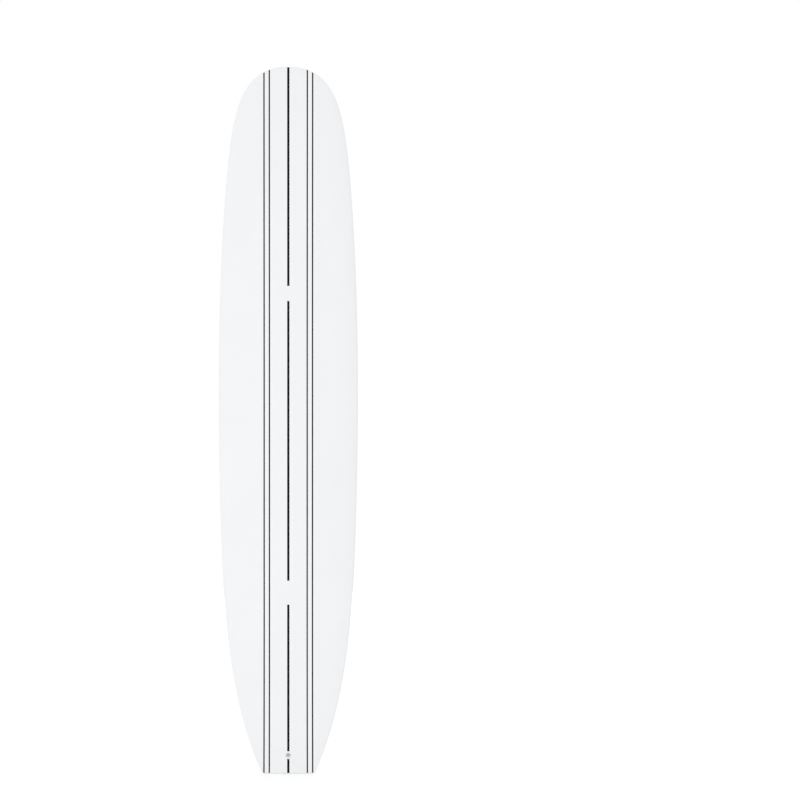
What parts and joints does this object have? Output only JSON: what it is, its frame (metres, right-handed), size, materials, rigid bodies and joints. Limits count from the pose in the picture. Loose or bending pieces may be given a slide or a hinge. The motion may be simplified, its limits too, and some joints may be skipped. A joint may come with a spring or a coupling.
{
  "type": "longboard surfboard",
  "caption": "Longboard surfboard with a round nose, square tail, black pinlines, leash plug and a raked green single fin in a slotted box.",
  "frame": {"origin": "centre of the flat end of the tail", "axes": "+Z from the tail to the nose, deck faces -Y, bottom and fin face +Y, X across the board"},
  "size_m": [0.568, 0.2853, 2.8448],
  "materials": {
    "white_epoxy_laminate": "polished resin over glass cloth",
    "black_pinline_resin": "gloss resin",
    "polyurethane_foam": "shaped foam",
    "basswood": "planed",
    "black_moulded_plastic": "satin, sanded flush",
    "white_moulded_plastic": "semi-gloss moulding",
    "green_glass_fibre": "polished translucent panel",
    "stainless_steel": "turned"
  },
  "bodies": {
    "board": {"bottom_centre_line_1": "black_pinline_resin", "bottom_centre_line_2": "black_pinline_resin", "bottom_centre_line_3": "black_pinline_resin", "bottom_laminate": "white_epoxy_laminate", "bottom_pinline_left_inner": "black_pinline_resin", "bottom_pinline_left_outer": "black_pinline_resin", "bottom_pinline_right_inner": "black_pinline_resin", "bottom_pinline_right_outer": "black_pinline_resin", "deck_centre_line_1": "black_pinline_resin", "deck_centre_line_2": "black_pinline_resin", "deck_centre_line_3": "black_pinline_resin", "deck_centre_line_4": "black_pinline_resin", "deck_laminate": "white_epoxy_laminate", "deck_pinline_left_inner": "black_pinline_resin", "deck_pinline_left_outer": "black_pinline_resin", "deck_pinline_right_inner": "black_pinline_resin", "deck_pinline_right_outer": "black_pinline_resin", "fin_box": "black_moulded_plastic", "foam_core_left": "polyurethane_foam", "foam_core_right": "polyurethane_foam", "leash_plug_cup": "white_moulded_plastic", "leash_plug_pin": "stainless_steel", "stringer": "basswood"},
    "fin": {"fin": "green_glass_fibre", "fin_roll_pin": "stainless_steel"},
    "screw": {"fin_screw": "stainless_steel"},
    "nut_plate": {"fin_nut_plate": "stainless_steel"}
  },
  "joints": [
    {"name": "fin_slide", "type": "slide", "parent": "board", "child": "fin", "axis": [0, -0.148, -0.989], "range_m": [-0.013, 0.024]},
    {"name": "fin_screw_turn", "type": "hinge", "parent": "fin", "child": "screw", "pos_m": [0, 0.07472, 0.36744], "axis": [0, 0.989, -0.148], "range_deg": [0, 720]},
    {"name": "nut_plate_travel", "type": "slide", "parent": "fin", "child": "nut_plate", "axis": [0, -0.989, 0.148], "range_m": [0, 0.00159]}
  ],
  "couplings": [
    {"joint": "fin_screw_turn", "follows": "nut_plate_travel", "rad_per_m": 7913.3}
  ]
}
